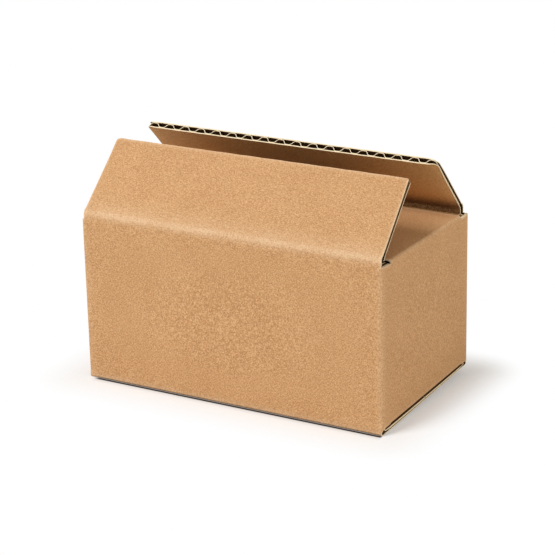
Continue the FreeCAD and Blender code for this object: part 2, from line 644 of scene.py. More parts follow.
@dataclass
class Grid:
    """A liner laid out in stations along its creases and rows across them."""

    layer: Layer
    top: np.ndarray
    under: np.ndarray
    cells: np.ndarray
    along: np.ndarray
    # How worn each point is. On a long flap's inner liner, it is how much painted shade the point takes.
    wear_and_shade: np.ndarray
    closed: bool = False
    covered: Optional[np.ndarray] = None

    def _faces(self) -> tuple[np.ndarray, np.ndarray]:
        """The quads of both faces, then those of the cut edges.

        Returns:
            The face quads and the edge quads, as rows of four vertex numbers.
        """
        stations, rows = self.top.shape[:2]
        count = stations * rows
        number = np.arange(count).reshape(stations, rows)
        following = np.roll(number, -1, axis=0)
        if not self.closed:
            number, following = number[:-1], following[:-1]
        corners = [number[:, :-1], following[:, :-1], following[:, 1:], number[:, 1:]]
        quads = np.stack([corner[self.cells] for corner in corners], axis=1)
        faces = np.vstack([quads, quads[:, ::-1] + count])
        loops = np.stack([quads, np.roll(quads, -1, axis=1)], axis=2).reshape(-1, 2)
        key = np.sort(loops, axis=1)
        same, uses = np.unique(key, axis=0, return_counts=True)
        lone = {tuple(edge) for edge in same[uses == 1]}
        rim = np.array([loop for loop, edge in zip(loops, map(tuple, key)) if edge in lone])
        return faces, np.column_stack([rim[:, 1], rim[:, 0], rim[:, 0] + count, rim[:, 1] + count])

    def _coats(self, half: int, total: int) -> np.ndarray:
        """Which finish each quad has.

        Args:
            half: How many quads each face of the liner has.
            total: How many quads there are with the cut edges.

        Returns:
            The number of each quad's material slot.
        """
        coats = np.full(total, Coat.CUT.value, np.int32)
        shown, hidden = coats[:half], coats[half:2 * half]
        if self.layer is Layer.INNER:
            shown, hidden = hidden, shown
        shown[:] = Coat.PAPER.value
        # The faces against the medium are painted near black, as painted shade in the voids between the
        # flutes.
        hidden[:] = Coat.GLUED.value
        if self.covered is not None:
            shown[self.covered[self.cells]] = Coat.GLUED.value
        return coats

    def make(self, name: str, paint: Paint) -> bpy.types.Object:
        """Builds the liner as one closed mesh.

        Args:
            name: The object's name.
            paint: The finishes for its faces and its cut edges.

        Returns:
            The new object.
        """
        faces, edges = self._faces()
        points = np.vstack([self.top.reshape(-1, 3), self.under.reshape(-1, 3)])
        quads = np.vstack([faces, edges])
        used, compact = np.unique(quads, return_inverse=True)
        quads = compact.reshape(quads.shape)
        mesh = bpy.data.meshes.new(name)
        mesh.from_pydata(points[used].tolist(), [], quads.tolist())
        paper = paint.kraft if self.layer is Layer.OUTER else paint.kraft_inside
        for material in (paper, paint.edge, paint.glued):
            mesh.materials.append(material)
        mesh.polygons.foreach_set("material_index", self._coats(len(faces) // 2, len(quads)))
        for title, values in (("along", self.along), ("wear_and_shade", self.wear_and_shade)):
            flat = np.tile(np.broadcast_to(values, self.top.shape[:2]).reshape(-1), 2)[used]
            mesh.attributes.new(title, "FLOAT", "POINT").data.foreach_set("value", flat.astype(np.float32))
        return finish_mesh(name, mesh)


def finish_mesh(name: str, mesh: bpy.types.Mesh) -> bpy.types.Object:
    """Turns a closed mesh's faces outwards, shades it and puts it in the scene.

    Args:
        name: The object's name.
        mesh: The mesh.

    Returns:
        The new object.
    """
    work = bmesh.new()
    work.from_mesh(mesh)
    bmesh.ops.recalc_face_normals(work, faces=work.faces)
    work.to_mesh(mesh)
    work.free()
    mesh.shade_smooth()
    mesh.set_sharp_from_angle(angle=SMOOTH_BELOW)
    piece = bpy.data.objects.new(name, mesh)
    bpy.context.scene.collection.objects.link(piece)
    return piece


def read_points(mesh: bpy.types.Mesh) -> np.ndarray:
    """Reads where a mesh's points are.

    Args:
        mesh: The mesh.

    Returns:
        The points as rows of three numbers.
    """
    points = np.empty(len(mesh.vertices) * 3)
    mesh.vertices.foreach_get("co", points)
    return points.reshape(-1, 3)


def join_meshes(name: str, meshes: Sequence[bpy.types.Mesh]) -> bpy.types.Object:
    """Joins meshes of the same materials into one object at the origin.

    Args:
        name: The new object's name.
        meshes: What to join, which is used up.

    Returns:
        The object.
    """
    work = bmesh.new()
    for mesh in meshes:
        work.from_mesh(mesh)
    whole = bpy.data.meshes.new(name)
    for material in meshes[0].materials:
        whole.materials.append(material)
    work.to_mesh(whole)
    work.free()
    for mesh in meshes:
        bpy.data.meshes.remove(mesh)
    return finish_mesh(name, whole)


@dataclass
class FluteTree:
    """Geometry Nodes that lay out a flap's medium: a flat sheet pressed into even waves."""

    board: Board
    # The medium's sheet takes the near black finish, a painted shade for the voids between the flutes.
    sheet: bpy.types.Material
    cut: bpy.types.Material
    per_flute: int = 20
    rows: int = 9
    weld: float = 0.0005 * MM
    tree: bpy.types.NodeTree = field(init=False)

    def __post_init__(self) -> None:
        """Builds the tree once, with its sizes as named inputs."""
        self.tree = bpy.data.node_groups.new("flute_waves", "GeometryNodeTree")
        inputs = {
            "NodeSocketGeometry": ("Geometry",),
            "NodeSocketFloat": ("Span", "Depth", "Pitch", "Rise", "First Flank", "Squareness", "Paper"),
            "NodeSocketInt": ("Stations", "Rows"),
            "NodeSocketMaterial": ("Sheet", "Cut"),
        }
        for kind, names in inputs.items():
            for name in names:
                self.tree.interface.new_socket(name, in_out="INPUT", socket_type=kind)
        self.tree.interface.new_socket("Geometry", in_out="OUTPUT", socket_type="NodeSocketGeometry")
        self._wire(Nodes(self.tree))

    def _wire(self, nodes: Nodes) -> None:
        """Lays out the sheet, waves it, gives it thickness and its finishes.

        Args:
            nodes: The tree's nodes.
        """
        size = nodes.add("NodeGroupInput").other
        sheet = nodes.add("GeometryNodeMeshGrid", {}, {
            "Size X": size("Span"), "Size Y": size("Depth"),
            "Vertices X": size("Stations"), "Vertices Y": size("Rows"),
        }, "Mesh")
        from_end = nodes.split(nodes.add("GeometryNodeInputPosition")) + size("Span") * 0.5
        swing = ((from_end - size("First Flank")) / size("Pitch") * (2 * math.pi)).sine()
        lift = (swing * size("Squareness")).tanh() / size("Squareness").tanh() * size("Rise")
        drop = nodes.add("ShaderNodeCombineXYZ", {}, {"Z": lift * -1.0})
        waved = nodes.add("GeometryNodeSetPosition", {}, {"Geometry": sheet, "Offset": drop})
        normal = nodes.add("GeometryNodeInputNormal")
        down = nodes.vector("SCALE", {0: normal, "Scale": size("Paper") * -0.5})
        lowered = nodes.add("GeometryNodeSetPosition", {}, {"Geometry": waved, "Offset": down})
        raised = nodes.add("GeometryNodeExtrudeMesh", {"mode": "FACES"}, {
            "Mesh": lowered, "Offset": normal, "Offset Scale": size("Paper"), "Individual": False,
        }, "Mesh")
        under = nodes.add("GeometryNodeFlipFaces", {}, {"Mesh": lowered})
        joined = nodes.add("GeometryNodeJoinGeometry", {}, {0: [raised, under]})
        merged = nodes.add("GeometryNodeMergeByDistance", {}, {"Geometry": joined, "Distance": self.weld})
        solid = nodes.add("GeometryNodeRealizeInstances", {}, {"Geometry": merged})
        covered = nodes.add("GeometryNodeSetMaterial", {}, {"Geometry": solid, "Material": size("Sheet")})
        dressed = nodes.add("GeometryNodeSetMaterial", {}, {
            "Geometry": covered, "Selection": raised.other("Side"), "Material": size("Cut"),
        })
        nodes.end("NodeGroupOutput", dressed)

    def wave(self, name: str, span: float, depth: float) -> bpy.types.Mesh:
        """Makes one flat medium, centred on the origin, with its flutes along Y.

        Args:
            name: The mesh's name.
            span: Its size across the flutes.
            depth: Its size along the flutes.

        Returns:
            The mesh.
        """
        board = self.board
        holder = bpy.data.objects.new(name, bpy.data.meshes.new(name))
        bpy.context.scene.collection.objects.link(holder)
        modifier = holder.modifiers.new("waves", "NODES")
        modifier.node_group = self.tree
        values = {
            "Span": span, "Depth": depth, "Pitch": board.pitch, "Rise": board.rise,
            "First Flank": board.first_flank, "Squareness": board.squareness, "Paper": board.medium,
            "Stations": round(span / board.pitch * self.per_flute) + 1, "Rows": self.rows,
            "Sheet": self.sheet, "Cut": self.cut,
        }
        for item in self.tree.interface.items_tree:
            if item.in_out == "INPUT" and item.name in values:
                modifier[item.identifier] = values[item.name]
        holder.update_tag()
        bpy.context.view_layer.update()
        graph = bpy.context.evaluated_depsgraph_get()
        mesh = bpy.data.meshes.new_from_object(holder.evaluated_get(graph))
        bpy.data.objects.remove(holder)
        mesh.name = name
        return mesh


@dataclass(frozen=True)
class SheetWear:
    """How the folded sheet is worn: its rough cuts, crushed edges, bent corner and paler, worn folds.

    The spreads along a fold are shares of the fold's steps. Of each pair of crushed shares, the
    first is at the front.
    """

    cut_wander: float = 0.06 * MM
    bottom_cut_wave: float = 9.0 * MM
    short_cut_wave: float = 8.0 * MM
    edge_swell: float = 0.45 * MM
    swell_width: float = 1.2 * MM
    crush_right: tuple[float, float] = (0.50, 0.60)
    crush_left: tuple[float, float] = (0.25, 0.25)
    crush_width: float = 3.6 * MM
    lift: float = 3.0 * MM
    lift_length: float = 16.0 * MM
    lift_height: float = 22.0 * MM
    lift_spread: float = 1.15
    rub_long_foot: float = 0.75
    rub_end_foot: float = 0.60
    rub_end_top: float = 0.60
    foot_spread: float = 0.35
    top_spread: float = 0.40
    rub_upright: float = 0.30
    upright_width: float = 1.6 * MM
    cut_width: float = 0.9 * MM
    slot_width: float = 0.5 * MM
    patchy: float = 0.2
    patch_wave: float = 23.0 * MM


@dataclass
class Laid:
    """One wall of a liner laid out, by station along it and row from its foot to its top."""

    points: np.ndarray
    there: np.ndarray
    place: np.ndarray
    wear_and_shade: np.ndarray
    covered: np.ndarray


@dataclass
class Carton:
    """The folded sheet apart from its long top flaps: walls, short flaps and bottom."""

    sizes: Sizes
    paint: Paint
    flutes: FluteTree
    worn: SheetWear = SheetWear()
    bulge: tuple[float, float, float, float] = (0.22 * MM, 0.16 * MM, 0.20 * MM, 0.12 * MM)
    long_steps: int = 26
    end_steps: int = 16
    arc_steps: int = 7
    slot_steps: int = 9
    least_step: float = 0.02 * MM
    fold_steps: int = 8
    fold_shown: int = 3
    flap_rows: int = 10
    wall_rows: int = 34
    row_ease: float = 0.9
    foot_ease: int = 5
    tab_steps: tuple[int, int] = (10, 12)
    same_place: float = 1e-9

    @property
    def _lower(self) -> int:
        """The first row of the walls themselves, which is also how many rows come before."""
        return self.flap_rows - 1 + self.fold_steps

    @property
    def _upper(self) -> int:
        """The first row above the walls themselves."""
        return self._lower + self.wall_rows

    @property
    def _rows(self) -> int:
        """How many rows there are in all, with as many above the walls as below them."""
        return self._upper + self._lower

    def _half(self, wall: Wall) -> float:
        """Half the width of a wall."""
        return self.sizes.half_length if wall.long else self.sizes.half_width

    def _plane(self, wall: Wall) -> float:
        """How far a wall's outer face stands from the middle of the carton."""
        return self.sizes.half_width if wall.long else self.sizes.half_length

    def _base(self, wall: Wall) -> float:
        """The height of the outer face of a wall's bottom flap."""
        return 0.0 if wall.long else self.sizes.board.thickness

    def _foot_radius(self, wall: Wall) -> float:
        """The outer radius of a wall's fold into its bottom flap."""
        return self.sizes.bottom_fold_radius if wall.long else self.sizes.end_foot_radius

    def _corner(self, wall: Wall) -> float:
        """The place along a wall's sheet where the corner turns halfway to the next wall."""
        radius = self.sizes.corner_radius
        return self._half(wall) - radius + radius * math.pi / 4

    def _flap_half(self, wall: Wall, top: bool) -> float:
        """Half the width of one of a wall's flaps.

        Args:
            wall: Which wall.
            top: Whether it is the top flap.

        Returns:
            The half width.
        """
        inset = self.sizes.short_flap_inset
        if wall.long:
            inset = self.sizes.long_flap_inset if top else self.sizes.bottom_flap_inset
        return self._half(wall) - inset

    def _in_flap(self, wall: Wall, place: np.ndarray, top: bool) -> np.ndarray:
        """Which places along a wall's sheet its top or bottom flap takes up."""
        return np.abs(place) <= self._flap_half(wall, top) + self.same_place

    def _stations(self, wall: Wall) -> np.ndarray:
        """Lays out places along a wall's sheet, closer together at its corners.

        Args:
            wall: Which wall.

        Returns:
            The places, from one corner to just short of the next.
        """
        corner = self._corner(wall)
        start = self._half(wall) - self.sizes.corner_radius
        edge = self._flap_half(wall, True)
        steps = self.long_steps if wall.long else self.end_steps
        marks = {0.0, start, corner, edge, self._flap_half(wall, False)}
        marks |= set(np.linspace(0, min(start, edge), steps))
        marks |= set(np.linspace(start, corner, self.arc_steps))
        marks |= set(edge + (corner - edge) * (1 - np.cos(np.linspace(0, QUARTER, self.slot_steps))))
        half = np.array(sorted(marks))
        half = half[np.concatenate([[True], np.diff(half) > self.least_step])]
        half[-1] = corner
        return np.concatenate([-half[:0:-1], half])[:-1]

    def _round(self, wall: Wall, place: Number, depth: Number, flat: Number) -> tuple[Number, Number]:
        """Bends a wall's sheet round its corners.

        Args:
            wall: Which wall.
            place: Places along its sheet.
            depth: How deep in the board, from its outer face.
            flat: How much the sheet is straightened there, from 0 to 1.

        Returns:
            The distance along the wall from its middle, and the distance out from the carton's.
        """
        radius = self.sizes.corner_radius
        start = self._half(wall) - radius
        inner = self.sizes.board.fold_radius(radius, depth)
        centre = self._half(wall) - depth - inner
        size = np.abs(place)
        angle = np.maximum(size - start, 0.0) / radius
        bent = np.where(size <= start, size * centre / start, centre + inner * np.sin(angle))
        out = self._plane(wall) - depth - inner * (1 - np.cos(angle))
        along = bent + (size - bent) * flat
        return np.sign(place) * along, out + (self._plane(wall) - depth - out) * flat

    def _slot_share(self, wall: Wall, place: np.ndarray, top: bool) -> np.ndarray:
        """Finds places in the slot between two flaps at a corner.

        Args:
            wall: Which wall.
            place: Places along its sheet.
            top: Whether it is a slot at the top.

        Returns:
            Where each place is, from -1 at the long wall's flap to 1 at the end wall's.
        """
        long_width = self._corner(Wall.FRONT) - self._flap_half(Wall.FRONT, top)
        short_width = self._corner(Wall.RIGHT) - self._flap_half(Wall.RIGHT, top)
        back = self._corner(wall) - np.abs(place)
        where = long_width - back if wall.long else long_width + back
        return 2 * where / (long_width + short_width) - 1

    def _wall_top(self, wall: Wall, place: np.ndarray, depth: float) -> np.ndarray:
        """How high a wall's own rows go: to its fold or web, or to the slot at a corner.

        Args:
            wall: Which wall.
            place: Places along its sheet.
            depth: How deep in the board, from its outer face.

        Returns:
            The height at each place.
        """
        s = self.sizes
        fold = s.height - depth - s.board.fold_radius(s.end_fold_radius, depth)
        edge = s.seam_height if wall.long else fold
        share = self._slot_share(wall, place, True)
        line = s.seam_height + (s.height - s.end_fold_radius - s.seam_height) * (share + 1) / 2
        slot = line + s.slot_rise * np.sqrt(np.clip(1 - share * share, 0, 1))
        return np.where(self._in_flap(wall, place, True), edge, slot)

    def _wall_foot(self, wall: Wall, place: np.ndarray, depth: float) -> np.ndarray:
        """How low a wall's own rows go: to its fold, or to the slot at a corner.

        Args:
            wall: Which wall.
            place: Places along its sheet.
            depth: How deep in the board, from its outer face.

        Returns:
            The height at each place.
        """
        s = self.sizes
        edge = self._base(wall) + depth + s.board.fold_radius(self._foot_radius(wall), depth)
        share = self._slot_share(wall, place, False)
        target = np.where(share < 0, s.bottom_fold_radius, s.board.thickness + s.end_foot_radius)
        slot = s.corner_foot + (target - s.corner_foot) * np.abs(share) ** self.foot_ease
        return np.where(self._in_flap(wall, place, False), edge, slot)

    def _bent(self, points: np.ndarray) -> np.ndarray:
        """Bends up the worn lower back corner at the right end.

        Args:
            points: Points of the fresh carton, with X, Y and Z along the last axis.

        Returns:
            The points where they come to lie.
        """
        x, y, z = np.moveaxis(points, -1, 0)
        toward_back = np.clip((1 + y / self.sizes.half_width) / 2, 0, 1) ** self.worn.lift_spread
        near_end = bell(self.sizes.half_length - x, self.worn.lift_length) * (x > 0)
        low = np.clip(1 - z / self.worn.lift_height, 0, 1) ** 2
        return np.stack([x, y, z + self.worn.lift * toward_back * near_end * low], axis=-1)

    def _pressed(self, x: np.ndarray, y: np.ndarray, high: np.ndarray) -> np.ndarray:
        """Crushes the side edges of the long bottom flaps.

        Args:
            x: Where each point is along the carton.
            y: Where it is across the carton.
            high: Its height in fresh board.

        Returns:
            Its height in the crushed board.
        """
        worn = self.worn
        side = self._flap_half(Wall.FRONT, False)
        toward_back = smooth_step((y / self.sizes.half_width + 1) / 2)
        total = high
        for way, (front, back) in ((1, worn.crush_right), (-1, worn.crush_left)):
            near = bell(side - way * x, worn.crush_width) * (way * x > 0)
            total = total - near * high * (front + (back - front) * toward_back)
        return total

    def _foot(self, wall: Wall, place: np.ndarray, depth: float) -> tuple[np.ndarray, np.ndarray]:
        """Lays out a wall's bottom flap and the fold up to the wall.

        Args:
            wall: Which wall.
            place: Places along its sheet.
            depth: How deep in the board, from its outer face.

        Returns:
            How far out and how high each point is, in rows from the flap's free edge.
        """
        s = self.sizes
        radius = s.board.fold_radius(self._foot_radius(wall), depth)
        centre = self._plane(wall) - depth - radius
        free = s.bottom_seam / 2 if wall.long else s.short_tip
        seed = Seed.BOTTOM_EDGE.value + wall.number
        free = free + self.worn.cut_wander * wander(place, seed, self.worn.bottom_cut_wave)
        share = np.linspace(0, 1, self.flap_rows)[None, :-1]
        turn = np.linspace(0, QUARTER, self.fold_steps + 1)[None, :-1]
        flap_out = free * (1 - share) + centre * share
        flap_high = np.full_like(flap_out, self._base(wall) + depth)
        fold_out = centre + radius * np.sin(turn) + 0 * place
        fold_high = self._base(wall) + depth + radius * (1 - np.cos(turn)) + 0 * place
        if wall.long:
            x = wall.value[0] * place
            facing = wall.outwards[1]
            flap_high = self._pressed(x, facing * flap_out, flap_high)
            if s.board.under_inner(depth):
                from_side = self._flap_half(wall, False) - np.abs(place)
                flap_high = flap_high - self.worn.edge_swell * bell(from_side, self.worn.swell_width)
            pressed = self._pressed(x, facing * fold_out, fold_high)
            fold_high = pressed + (fold_high - pressed) * smooth_step(turn / QUARTER)
        return np.hstack([flap_out, fold_out]), np.hstack([flap_high, fold_high])

    def _upright(self, wall: Wall, place: np.ndarray, depth: float) -> tuple[np.ndarray, ...]:
        """Lays out a wall itself, a little bulged, between its two folds.

        Args:
            wall: Which wall.
            place: Places along its sheet.
            depth: How deep in the board, from its outer face.

        Returns:
            How far along, how far out and how high each point is.
        """
        s = self.sizes
        low = self._wall_foot(wall, place, depth)
        top = self._wall_top(wall, place, depth)
        even = np.linspace(0, 1, self.wall_rows)[None, :]
        climb = even - self.row_ease * np.sin(2 * math.pi * even) / (2 * math.pi)
        high = low + (top - low) * climb
        under_flap = self._in_flap(wall, place, True)
        over_flap = self._in_flap(wall, place, False)
        flat_top = smooth_step((high - top + s.straighten) / s.straighten) * under_flap
        flat_foot = smooth_step((low + s.straighten - high) / s.straighten) * over_flap
        sunk = depth + 0 * high
        if s.board.under_outer(depth):
            sunk = sunk + s.slot_rim * smooth_step(1 - (top - high) / s.rim_height) * ~under_flap
        along, out = self._round(wall, place + 0 * climb, sunk, np.maximum(flat_top, flat_foot))
        swell = np.cos(QUARTER * place / self._half(wall)) * np.sin(math.pi * high / s.height)
        return along, out + self.bulge[wall.number] * np.clip(swell, 0, 1), high

    def _short_flap(self, wall: Wall, place: np.ndarray, depth: float) -> tuple[np.ndarray, np.ndarray]:
        """Lays out the fold at an end wall's top and its short top flap.

        Args:
            wall: Which wall.
            place: Places along its sheet.
            depth: How deep in the board, from its outer face.

        Returns:
            How far out and how high each point is, in rows from the wall.
        """
        s = self.sizes
        radius = s.board.fold_radius(s.end_fold_radius, depth)
        centre = self._plane(wall) - depth - radius
        turn = np.linspace(0, QUARTER, self.fold_steps + 1)[None, 1:]
        fold_out = centre + radius * np.cos(turn) + 0 * place
        fold_high = s.height - depth - radius * (1 - np.sin(turn)) + 0 * place
        seed = Seed.SHORT_EDGE.value + wall.number
        tip = s.short_tip + self.worn.cut_wander * wander(place, seed, self.worn.short_cut_wave)
        flap_out = centre + (tip - centre) * np.linspace(0, 1, self.flap_rows)[None, 1:]
        flap_high = np.full_like(flap_out, s.height - depth)
        return np.hstack([fold_out, flap_out]), np.hstack([fold_high, flap_high])

    def _wear(self, wall: Wall, place: np.ndarray, from_top: np.ndarray) -> np.ndarray:
        """How worn a wall's sheet is: at its folds, its upright corners and its cuts.

        Args:
            wall: Which wall.
            place: Places along its sheet.
            from_top: How far below the wall's top edge its own rows lie.

        Returns:
            For each place and row, from 0 for fresh to 1 for fully worn.
        """
        worn = self.worn
        row = np.arange(self._rows)[None, :]
        most = worn.rub_long_foot if wall.long else worn.rub_end_foot
        rub = most * bell(row - self._lower, self.fold_steps * worn.foot_spread)
        if not wall.long:
            spread = self.fold_steps * worn.top_spread
            rub = rub + worn.rub_end_top * bell(row - self._upper - spread, spread)
        seed = Seed.FOLD_RUB.value + wall.number
        rub = rub * (1 - worn.patchy + worn.patchy * wander(place, seed, worn.patch_wave))
        upright = worn.rub_upright * bell(self._corner(wall) - np.abs(place), worn.upright_width)
        cut = bell(self._flap_half(wall, True) - np.abs(place), worn.cut_width)
        rub = rub + upright * ((row >= self._lower) & (row < self._upper)) + cut * (row > self._upper)
        rub = np.clip(rub, 0, 1)
        slot = bell(from_top, worn.slot_width) * ~self._in_flap(wall, place, True)
        rub[:, self._lower:self._upper] = np.maximum(rub[:, self._lower:self._upper], slot)
        return rub

    def _glued(self, wall: Wall, place: np.ndarray, layer: Layer) -> np.ndarray:
        """Which places of the bottom flaps lie against each other, and so take the near black finish: glue
        where they touch, and painted shade where the crack between them shows.

        Args:
            wall: Which wall.
            place: Places along its sheet, for every row.
            layer: Which liner.

        Returns:
            True where the liner's shown face is covered.
        """
        row = np.arange(place.shape[1])[None, :]
        if wall.long:
            over_short = np.abs(place) > self.sizes.short_tip
            return (row < self.flap_rows - 1) & over_short & (layer is Layer.INNER)
        low = (row < self._lower - self.fold_shown) & (layer is Layer.OUTER)
        return np.broadcast_to(low, place.shape)

    def _panel(self, wall: Wall, layer: Layer, depth: float) -> Laid:
        """Lays out one wall with its bottom flap and its short top flap.

        Args:
            wall: Which wall.
            layer: Which liner.
            depth: How deep in the board, from its outer face.

        Returns:
            The wall as laid out.
        """
        place = self._stations(wall)[:, None]
        foot_out, foot_high = self._foot(wall, place, depth)
        wall_along, wall_out, wall_high = self._upright(wall, place, depth)
        top_out, top_high = self._short_flap(wall, place, depth)
        flap_along = np.broadcast_to(place, foot_out.shape)
        along = np.hstack([flap_along, wall_along, flap_along])
        out = np.hstack([foot_out, wall_out, top_out])
        high = np.hstack([foot_high, wall_high, top_high])
        x = along * wall.value[0] + out * wall.outwards[0]
        y = along * wall.value[1] + out * wall.outwards[1]
        there = np.ones(out.shape, bool)
        there[:, :self._lower] = self._in_flap(wall, place, False)
        there[:, self._upper:] = self._in_flap(wall, place, True) & (not wall.long)
        wear_and_shade = self._wear(wall, place, self._wall_top(wall, place, depth) - wall_high)
        place = np.broadcast_to(place, out.shape)
        points = self._bent(np.stack([x, y, high], axis=2))
        return Laid(points, there, place, wear_and_shade * (layer is Layer.OUTER), self._glued(wall, place, layer))

    def liner(self, layer: Layer) -> bpy.types.Object:
        """Builds one liner of the folded sheet, all round the carton.

        Args:
            layer: Which liner.

        Returns:
            Its object.
        """
        depths = self.sizes.board.span(layer)
        near, far = ([self._panel(wall, layer, depth) for wall in Wall] for depth in depths)
        there = np.vstack([laid.there for laid in near])
        follows = np.roll(there, -1, axis=0)
        grid = Grid(
            layer,
            top=np.vstack([laid.points for laid in near]),
            under=np.vstack([laid.points for laid in far]),
            cells=there[:, :-1] & there[:, 1:] & follows[:, :-1] & follows[:, 1:],
            along=np.vstack([laid.place for laid in near]),
            wear_and_shade=np.vstack([laid.wear_and_shade for laid in near]),
            closed=True,
            covered=np.vstack([laid.covered for laid in near])[:, :-1],
        )
        return grid.make(f"carton_{layer.value}", self.paint)

    def _short_media(self, way: int) -> list[bpy.types.Mesh]:
        """Makes the media of the short flaps at one end.

        Args:
            way: 1 for the right end and -1 for the left one.

        Returns:
            The top flap's mesh and the bottom flap's.
        """
        s = self.sizes
        inner = s.short_tip + s.medium_gap
        outer = s.half_length - s.end_fold_radius - s.board.thickness
        turn = Matrix.Rotation(-way * QUARTER, 4, "Z")
        meshes = []
        for height in (s.height - s.board.middle, s.board.thickness + s.board.middle):
            mesh = self.flutes.wave("short_flap_medium", 2 * self._flap_half(Wall.RIGHT, True), outer - inner)
            mesh.transform(Matrix.Translation((way * (inner + outer) / 2, 0, height)) @ turn)
            meshes.append(mesh)
        return meshes

    def _bottom_medium(self, way: int) -> bpy.types.Mesh:
        """Makes the medium of one long bottom flap, crushed as the flap is.

        Args:
            way: 1 for the back one and -1 for the front one.

        Returns:
            Its mesh.
        """
        s = self.sizes
        inner = s.bottom_seam / 2 + s.medium_gap
        outer = s.half_width - s.board.thickness
        mesh = self.flutes.wave("long_bottom_medium", 2 * self._flap_half(Wall.FRONT, False), outer - inner)
        mesh.transform(Matrix.Translation((0, way * (inner + outer) / 2, s.board.middle)))
        points = read_points(mesh)
        points[:, 2] = self._pressed(*points.T)
        mesh.vertices.foreach_set("co", points.ravel())
        return mesh

    def media(self) -> bpy.types.Object:
        """Builds the medium of the folded flaps, whose flutes show at their cut edges.

        Returns:
            Its object.
        """
        meshes = []
        for way in (-1, 1):
            meshes += [*self._short_media(way), self._bottom_medium(way)]
        for mesh in meshes:
            mesh.vertices.foreach_set("co", self._bent(read_points(mesh)).ravel())
        return join_meshes("carton_flap_media", meshes)

    def tab(self) -> list[bpy.types.Object]:
        """Builds the joint tab's two liners, fixed with glue inside the left end wall.

        Returns:
            Their objects, the outer liner first.
        """
        s = self.sizes
        root = s.half_width - s.board.thickness
        wall = -s.half_length + s.board.thickness
        low = 2 * s.board.thickness + s.tab_gap
        high = s.height - s.board.thickness - s.tab_gap
        share = np.linspace(0, 1, self.tab_steps[0])[:, None]
        climb = np.linspace(0, 1, self.tab_steps[1])[None, :]
        y = root - s.tab_width * share + 0 * climb
        z = (low + s.tab_taper * share) + ((high - low) - 2 * s.tab_taper * share) * climb
        cells = np.ones((y.shape[0] - 1, y.shape[1] - 1), bool)
        built = []
        for layer in Layer:
            faces = [np.stack([np.full_like(y, wall + depth), y, z], axis=2) for depth in s.board.span(layer)]
            grid = Grid(layer, faces[0], faces[1], cells, y, np.zeros_like(y))
            built.append(grid.make(f"joint_tab_{layer.value}", self.paint))
        return built

    def build(self) -> list[bpy.types.Object]:
        """Builds every piece of the carton's body."""
        return [self.liner(Layer.OUTER), self.liner(Layer.INNER), self.media(), *self.tab()]


@dataclass(frozen=True)
class FlapLook:
    """How one long flap's free end is worn. Of each pair, the first is for its right side."""

    pinch: tuple[float, float]
    corner: tuple[float, float]
    flare: tuple[float, float] = (0.0, 0.0)
    taper: tuple[float, float] = (0.0, 0.0)
    side_crush: tuple[float, float] = (0.35, 0.25)
    waist: tuple[float, float] = (1.0 * MM, 1.0 * MM)


FRONT_LOOK = FlapLook(
    pinch=(0.05, 0.0),
    corner=(0.6 * MM, 1.4 * MM),
    flare=(0.70 * MM, 0.0),
    taper=(1.50 * MM, 0.0),
)
BACK_LOOK = FlapLook(
    pinch=(0.6, 0.15),
    corner=(2.2 * MM, 0.7 * MM),
    flare=(-1.0 * MM, 0.0),
    taper=(-1.1 * MM, 0.0),
    waist=(0.0, 1.0 * MM),
)


@dataclass(frozen=True)
class FlapWear:
    """How far the worn stretches of both long flaps reach, how worn they are, and how far the painted shade
    along the inner crease reaches.
    """

    cut_wander: float = 0.07 * MM
    cut_wave: float = 11.0 * MM
    corner_share: float = 0.98
    skew_power: int = 4
    nick_power: int = 8
    nick_fade: float = 1.1 * MM
    pinch_width: float = 2.4 * MM
    pinch_reach: float = 4.0 * MM
    side_width: float = 1.6 * MM
    pressed: float = 0.75
    rub_crease: float = 0.95
    crease_spread: float = 0.55
    rub_cut: float = 0.8
    tip_rows: float = 0.8
    cut_width: float = 0.5 * MM
    patchy: float = 0.18
    patch_wave: float = 31.0 * MM
    # How far up the flap the painted shade on the inner liner reaches.
    crease_shade_width: float = 5.0 * MM


